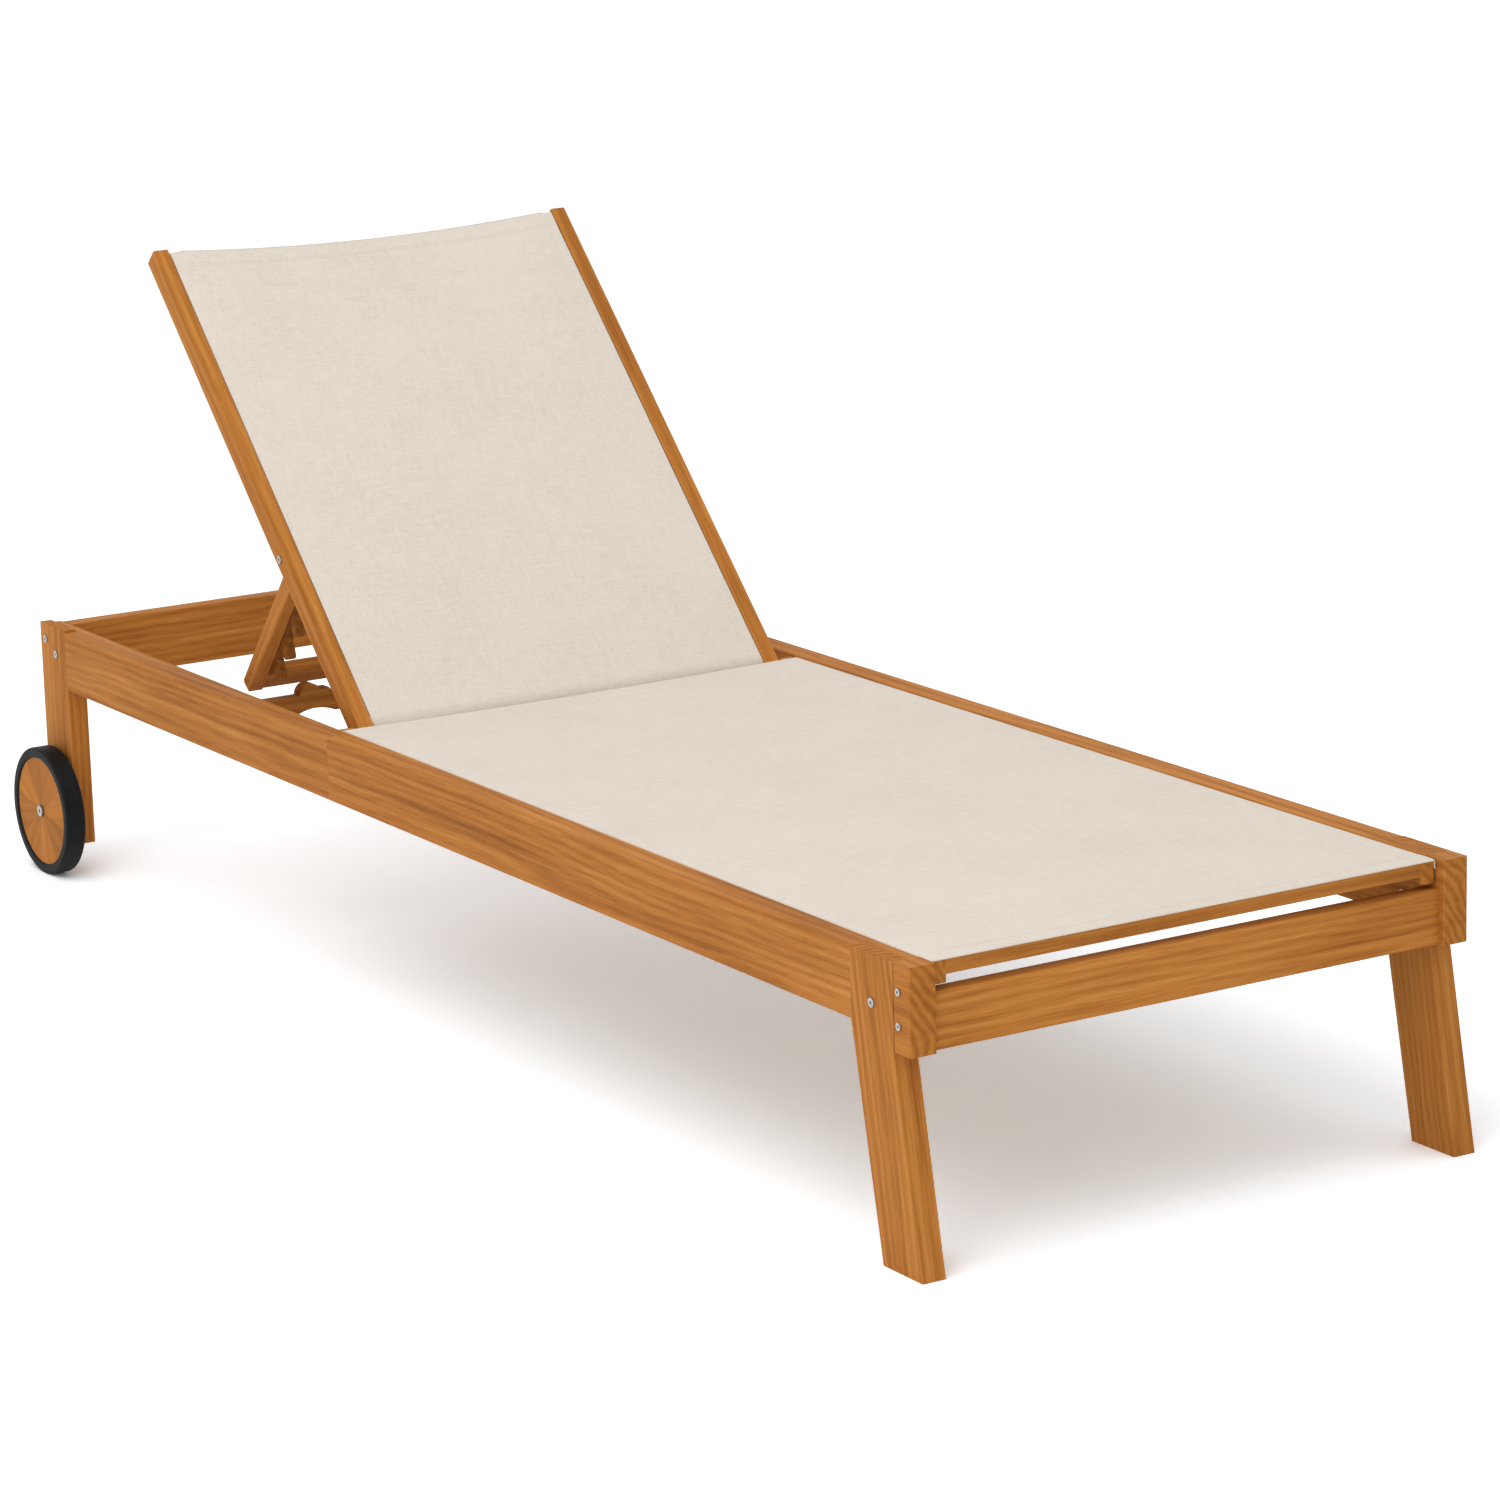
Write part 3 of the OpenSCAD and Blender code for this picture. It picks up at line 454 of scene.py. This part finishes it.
stainless = {"color": (0.50, 0.49, 0.47, 1), "shade": (0.30, 0.29, 0.28, 1)}
darkNylon = {"color": (0.022, 0.022, 0.023, 1), "worn": (0.04, 0.04, 0.042, 1)}


def makeSteel(v):
    m, t, shader = newMaterial("stainlessFixings")
    place = addNode(t, "ShaderNodeTexCoord").outputs["Object"]
    brushed = noise(t, spread(t, place, (400, 120, 2600)), 1, 2).outputs["Fac"]
    smudge = noise(t, place, 60, 2).outputs["Fac"]
    setShader(t, shader, {"Base Color": mixColor(t, smudge, v["color"], v["shade"]), "Metallic": 1.0,
                          "Roughness": calc(t, "MULTIPLY_ADD", brushed, 0.25, 0.2),
                          "Normal": bump(t, brushed, 0.1, 0.0002)})
    return m


def makeNylon(v):
    m, t, shader = newMaterial("darkNylon")
    place = addNode(t, "ShaderNodeTexCoord").outputs["Object"]
    grain = noise(t, place, 1400, 2).outputs["Fac"]
    shade = mixColor(t, noise(t, place, 40, 2).outputs["Fac"], v["color"], v["worn"])
    setShader(t, shader, {"Base Color": shade, "Roughness": calc(t, "MULTIPLY_ADD", grain, 0.2, 0.42),
                          "Normal": bump(t, grain, 0.2, 0.0002)})
    return m


steel, nylon = makeSteel(stainless), makeNylon(darkNylon)
for part in frame["record"]["subparts"]:
    if part["material_slot"] == "fixings":
        dressNode(part["node"], steel)
    if part["material_slot"] == "nylon":
        dressNode(part["node"], nylon)

print("sling cloth")

slingCloth = {
    "color": (0.785, 0.712, 0.625, 1),
    "shade": (0.655, 0.580, 0.490, 1),
    "thread": 0.0016,
    "cover": 0.955,  # the open weave lets a little of what is behind show
    "roughness": 0.86,
    "sheen": 0.12,
    "specular": 0.2,
}


def makeWeaveGroup(v):
    g, i, o = newGroup("slingWeave", [("Vector", "NodeSocketVector"), ("Color", "NodeSocketColor"),
                                      ("Shade", "NodeSocketColor")],
                       [("Color", "NodeSocketColor"), ("Height", "NodeSocketFloat")])
    place = i.outputs["Vector"]
    parts = addNode(g, "ShaderNodeSeparateXYZ", {0: place})
    turnsX = calc(g, "SINE", calc(g, "MULTIPLY", parts.outputs["X"], 2 * math.pi / v["thread"]))
    turnsY = calc(g, "SINE", calc(g, "MULTIPLY", parts.outputs["Y"], 2 * math.pi / v["thread"]))
    weave = calc(g, "ABSOLUTE", calc(g, "MULTIPLY", turnsX, turnsY))
    slubX = noise(g, spread(g, place, (70, 900, 300)), 1, 2).outputs["Fac"]
    slubY = noise(g, spread(g, place, (900, 70, 300)), 1, 2).outputs["Fac"]
    slubs = calc(g, "ADD", slubX, slubY)
    cloud = noise(g, place, 9, 3, 0.55).outputs["Fac"]
    dark = calc(g, "MULTIPLY_ADD", calc(g, "SUBTRACT", slubs, 1.0), 1.5, 0.26)
    dark = calc(g, "MULTIPLY_ADD", calc(g, "SUBTRACT", cloud, 0.5), 0.7, dark)
    dark = calc(g, "MULTIPLY_ADD", weave, -0.14, dark, clamp=True)
    g.links.new(mixColor(g, dark, i.outputs["Color"], i.outputs["Shade"]), o.inputs["Color"])
    g.links.new(calc(g, "MULTIPLY_ADD", weave, 0.5, slubs), o.inputs["Height"])
    return g


weaveGroup = makeWeaveGroup(slingCloth)


def clothMaterial(name, turn, tone=1.0, cover=1.0):
    m, t, shader = newMaterial(name)
    where = addNode(t, "ShaderNodeTexCoord").outputs["Object"]
    place = addNode(t, "ShaderNodeMapping", {"Vector": where, "Rotation": turn}).outputs[0]
    shades = [tuple(c * tone for c in slingCloth[k][:3]) + (1,) for k in ("color", "shade")]
    weave = useGroup(t, weaveGroup, {"Vector": place, "Color": shades[0], "Shade": shades[1]})
    setShader(t, shader, {"Base Color": weave.outputs["Color"], "Roughness": slingCloth["roughness"],
                          "Alpha": cover, "Sheen Weight": slingCloth["sheen"], "Sheen Roughness": 0.5,
                          "Specular IOR Level": slingCloth["specular"],
                          "Normal": bump(t, weave.outputs["Height"], 0.35, 0.0005)})
    return m


seatCloth = clothMaterial("seatCloth", lengthways, cover=slingCloth["cover"])
backCloth = clothMaterial("backCloth", leaning, cover=slingCloth["cover"])
hemCloth = clothMaterial("hemCloth", leaning, 0.9)
threadCloth = clothMaterial("sewingThread", leaning, 1.05)
# this very dark cloth colour is painted shade, for the shadowed grooves beside the back stiles
grooveShadeCloth = clothMaterial("paintedGrooveShade", leaning, 0.22)


def newPiece(name, bm, body, material):
    mesh = bpy.data.meshes.new(name)
    bmesh.ops.recalc_face_normals(bm, faces=bm.faces)
    bm.to_mesh(mesh)
    bm.free()
    for p in mesh.polygons:
        p.use_smooth = True
    mesh.materials.append(material)
    o = bpy.data.objects.new(name, mesh)
    bpy.context.collection.objects.link(o)
    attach(o, body)
    return o


def gridPiece(name, rows, thick, body, material):  # a sheet through rows of points, made thick
    bm = bmesh.new()
    made = [[bm.verts.new(p) for p in row] for row in rows]
    for a, b in zip(made, made[1:]):
        for k in range(len(a) - 1):
            bm.faces.new((a[k], a[k + 1], b[k + 1], b[k]))
    bm.normal_update()
    if sum(f.normal.z for f in bm.faces) < 0:
        bmesh.ops.reverse_faces(bm, faces=bm.faces)
        bm.normal_update()
    top = {v: v.normal.copy() for v in bm.verts}
    geometry = bmesh.ops.duplicate(bm, geom=bm.faces)
    twins = geometry["vert_map"]
    for v, normal in top.items():
        twins[v].co = v.co - normal * thick
    bmesh.ops.reverse_faces(bm, faces=[f for f in geometry["geom"] if isinstance(f, bmesh.types.BMFace)])
    rim = [e for e in bm.edges if len(e.link_faces) == 1 and e.verts[0] in top]
    for e in rim:
        a, b = e.verts
        bm.faces.new((a, b, twins[b], twins[a]))
    return newPiece(name, bm, body, material)


def ringAround(bm, centre, a, b, wide, deep, sides):
    turns = [2 * math.pi * j / sides for j in range(sides)]
    return [bm.verts.new(centre + a * (wide * math.cos(t)) + b * (deep * math.sin(t))) for t in turns]


def joinRings(bm, rings):  # a closed tube through rings of points
    for m, n in zip(rings, rings[1:]):
        for j in range(len(m)):
            k = (j + 1) % len(m)
            bm.faces.new((m[j], m[k], n[k], n[j]))
    bm.faces.new(rings[0][::-1])
    bm.faces.new(rings[-1])


def pointAlong(path, s):  # the point at a length along a path, and the way it runs there
    for p, q in zip(path, path[1:]):
        d = (q - p).length
        if s <= d:
            return p.lerp(q, s / d), (q - p).normalized()
        s -= d
    return path[-1], (path[-1] - path[-2]).normalized()


# a stitch's form, as shares of its thread's radius
stitch = {"rings": 5, "sides": 6, "endSize": 0.35, "midSize": 0.65, "rise": 0.9, "sunk": 0.4, "press": 0.8}


def dashes(name, paths, long, gap, radius, body, material):  # rows of stitches along paths of points
    bm = bmesh.new()
    last = stitch["rings"] - 1
    for path, up in paths:
        start = 0.0
        total = sum((q - p).length for p, q in zip(path, path[1:]))
        while start + long < total:
            rings = []
            for k in range(stitch["rings"]):
                p, along = pointAlong(path, start + long * k / last)
                lift = math.sin(math.pi * k / last)
                r = radius * (stitch["endSize"] + stitch["midSize"] * lift)
                centre = p + up * (radius * (stitch["rise"] * lift - stitch["sunk"]))
                rings.append(ringAround(bm, centre, along.cross(up).normalized(), up, r, r * stitch["press"],
                                        stitch["sides"]))
            joinRings(bm, rings)
            start += long + gap
    return newPiece(name, bm, body, material)


def edgeTube(name, points, radius, body, material, sides=8):
    bm = bmesh.new()
    rings = []
    for k, p in enumerate(points):
        along = (points[min(k + 1, len(points) - 1)] - points[max(k - 1, 0)]).normalized()
        a = along.orthogonal().normalized()
        rings.append(ringAround(bm, p, a, along.cross(a), radius, radius, sides))
    joinRings(bm, rings)
    return newPiece(name, bm, body, material)


print("seat sling")

seatSling = {
    "thick": 0.0012,
    "clear": 0.0003,
    "sag": 0.0050,
    "turnDown": 0.0070,  # how far it runs down the stiles' outer faces
    "bend": 0.0016,
    "frontLap": 0.0012,
    "frontDrop": 0.0016,
    "rearCurl": 0.0080,  # its rear edge turns down into the crease
    "rows": 150,
    "columns": 72,
    "hem": 0.026,
    "hemRise": 0.0005,
    "inside": 0.004,  # from the stiles' inner faces, where the sag starts
    "rearSpare": 0.004,
    "curlLong": 0.007,
    "dropLong": 0.0025,
    "crowding": 0.93,
}

stileLow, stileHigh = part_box("seat_stile_left")
seatLow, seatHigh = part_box("seat_sling")
rear, front = seatLow.x - seatSling["rearSpare"], seatHigh.x


def seatPoint(v, s, across):
    low, high = stileLow, stileHigh
    half, top = -low.y, high.z + v["clear"] + v["thick"]
    x = rear + (front + v["frontLap"] - 0.001 - rear) * s
    outside = half + v["clear"] + v["thick"]
    flat = outside - v["bend"]
    path = flat + v["bend"] * math.pi / 2 + v["turnDown"]
    d = abs(across) * path
    if d <= flat:
        y, z = d, top
        inner = (-high.y) - v["inside"]
        if d < inner:
            ends = min(1, (1 - s) * (front - rear) / 0.10) * min(1, 0.35 + s * (front - rear) / 0.30)
            z -= v["sag"] * (1 - (d / inner) ** 2) * math.sin(math.pi / 2 * ends)
    elif d <= flat + v["bend"] * math.pi / 2:
        a = (d - flat) / v["bend"]
        y, z = flat + v["bend"] * math.sin(a), top - v["bend"] * (1 - math.cos(a))
    else:
        y, z = outside, top - v["bend"] - (d - flat - v["bend"] * math.pi / 2)
    fromFront = (1 - s) * (front - rear)
    if abs(fromFront - v["hem"] / 2) < v["hem"] / 2:
        z += v["hemRise"] * math.sin(math.pi * fromFront / v["hem"]) ** 0.5 * (1 if d <= flat else 0)
    fromRear = s * (front - rear)
    if fromRear < v["curlLong"] and d <= flat:
        z -= v["rearCurl"] * (1 - fromRear / v["curlLong"]) ** 2
    if fromFront < v["dropLong"]:
        z -= v["frontDrop"] * (1 - fromFront / v["dropLong"]) ** 2
    return Vector((x, math.copysign(y, across), z))


def spacing(count, tight):  # 0 to 1 with points crowded at the ends
    whole = 2 * math.pi
    return [k / count - tight * math.sin(whole * (k / count)) / whole for k in range(count + 1)]


seatRows = [[seatPoint(seatSling, s, -1 + 2 * a) for a in spacing(seatSling["columns"], seatSling["crowding"])]
            for s in spacing(seatSling["rows"], seatSling["crowding"])]
seatPiece = gridPiece("seatSlingCloth", seatRows, seatSling["thick"], "base", seatCloth)
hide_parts("seat_sling")
threadLift = 0.00003
frontStitch = []
for back in (0.022, 0.0245):
    frontStitch.append(([seatPoint(seatSling, 1 - back / (front - rear), a / 30) + Vector((0, 0, threadLift))
                         for a in range(-28, 29)], Vector((0, 0, 1))))
seatThread = dashes("seatHemStitches", frontStitch, 0.0032, 0.0012, 0.00035, "base", threadCloth)

print("back sling")

backSling = {
    "thick": 0.0012,
    "sag": 0.0016,
    "topSag": 0.0065,  # more, above where the folded prop lies
    "sagFrom": 0.520,
    "topDip": 0.0060,  # the top edge's curve towards the seat in its middle
    "edgeGap": 0.0008,
    "clear": 0.0003,
    "shadeCordRadius": 0.0008,  # a dark cord of painted shade along the groove beside each stile, standing in for the groove's shadow
    "bend": 0.0009,  # its sides turn back a little beside the stiles
    "rows": 96,
    "columns": 72,
    "hem": 0.022,
    "hemRise": 0.0006,
    "stitchIn": 0.017,
    "legsInside": 0.020,
    "footLong": 0.012,
    "footTurn": 0.006,
    "footDrop": 0.009,
    "crowdAcross": 0.93,
    "crowdAlong": 0.9,
}
hinge = next(j for j in frame["joints"] if j["name"] == "back_recline")
backTurn = Matrix.Rotation(math.radians(backAngle), 3, "Y")


def onBack(x, y, z):
    return Vector(hinge["pos_m"]) + backTurn @ Vector((x, y, z))


def flatBack(node):  # a node's box measured along the backrest
    points = [backTurn.transposed() @ (p.co - Vector(hinge["pos_m"])) for p in nodes[node].data.vertices]
    return (Vector([min(p[k] for p in points) for k in range(3)]),
            Vector([max(p[k] for p in points) for k in range(3)]))


slingLow, slingHigh = flatBack("back_sling")


def backPoint(v, s, across):
    edge = slingHigh.y - v["edgeGap"] + v["clear"]
    flat = edge - v["bend"]
    path = flat + v["bend"] * math.pi / 2
    d = abs(across) * path
    u = min(1, d / (flat - v["legsInside"]))  # the sides stay clear of the prop's legs
    x = slingHigh.x + (slingLow.x - slingHigh.x) * s
    x += v["topDip"] * (1 - u * u) * s ** 6
    z = slingHigh.z
    if d <= flat:
        y = d
        far = min(1, max(0, (-x - v["sagFrom"]) / (-slingLow.x - v["sagFrom"])))
        z -= (v["sag"] + v["topSag"] * far * far * (3 - 2 * far)) * (1 - u * u) * min(1, s / 0.2 + 0.02)
    else:
        a = (d - flat) / v["bend"]
        y = flat + v["bend"] * math.sin(a)
        z -= v["bend"] * (1 - math.cos(a))
    fromFoot = s * (slingHigh.x - slingLow.x)
    if fromFoot < v["footLong"] and d <= flat:  # its lower edge turns back around the hinge line
        x += v["footTurn"] * (1 - fromFoot / v["footLong"])
        z -= v["footDrop"] * (1 - fromFoot / v["footLong"]) ** 2
    fromTop = (1 - s) * (slingHigh.x - slingLow.x)
    if fromTop < v["hem"]:
        z += v["hemRise"] * math.sin(math.pi * fromTop / v["hem"]) ** 0.5
    return onBack(x, math.copysign(y, across), z)


backRows = [[backPoint(backSling, s, -1 + 2 * a) for a in spacing(backSling["columns"], backSling["crowdAcross"])]
            for s in spacing(backSling["rows"], backSling["crowdAlong"])]
backPiece = gridPiece("backSlingCloth", backRows, backSling["thick"], "backrest", backCloth)
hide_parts("back_sling")
backLength = slingHigh.x - slingLow.x
faceUp = backTurn @ Vector((0, 0, 1))
seams = []
share = 1 - backSling["stitchIn"] / slingHigh.y
for sideSign in (-1, 1):
    seams.append(([backPoint(backSling, k / 60, sideSign * share) + faceUp * threadLift
                   for k in range(61)], faceUp))
for down in (0.0185, 0.0215):
    seams.append(([backPoint(backSling, 1 - down / backLength, a / 30) + faceUp * threadLift
                   for a in range(-28, 29)], faceUp))
backThread = dashes("backStitches", seams, 0.0034, 0.0014, 0.0004, "backrest", threadCloth)

topLine = [backPoint(backSling, 1, a / 40) - faceUp * 0.0006 for a in range(-38, 39)]
topCord = edgeTube("backTopEdge", topLine, 0.0011, "backrest", hemCloth)

# dark cords of painted shade along both sides of the back sling, where the grooves beside the stiles lie in shadow
for label, sideSign in (("Left", -1), ("Right", 1)):
    line = [backPoint(backSling, 0.016 + 0.98 * k / 80, sideSign) - faceUp * 0.0001 for k in range(81)]
    edgeTube("backGrooveShade" + label, line, backSling["shadeCordRadius"], "backrest", grooveShadeCloth)

for o in nodes.values():  # every face of the construction pieces is shaded flat
    if not o.hide_render:
        for p in o.data.polygons:
            p.use_smooth = False
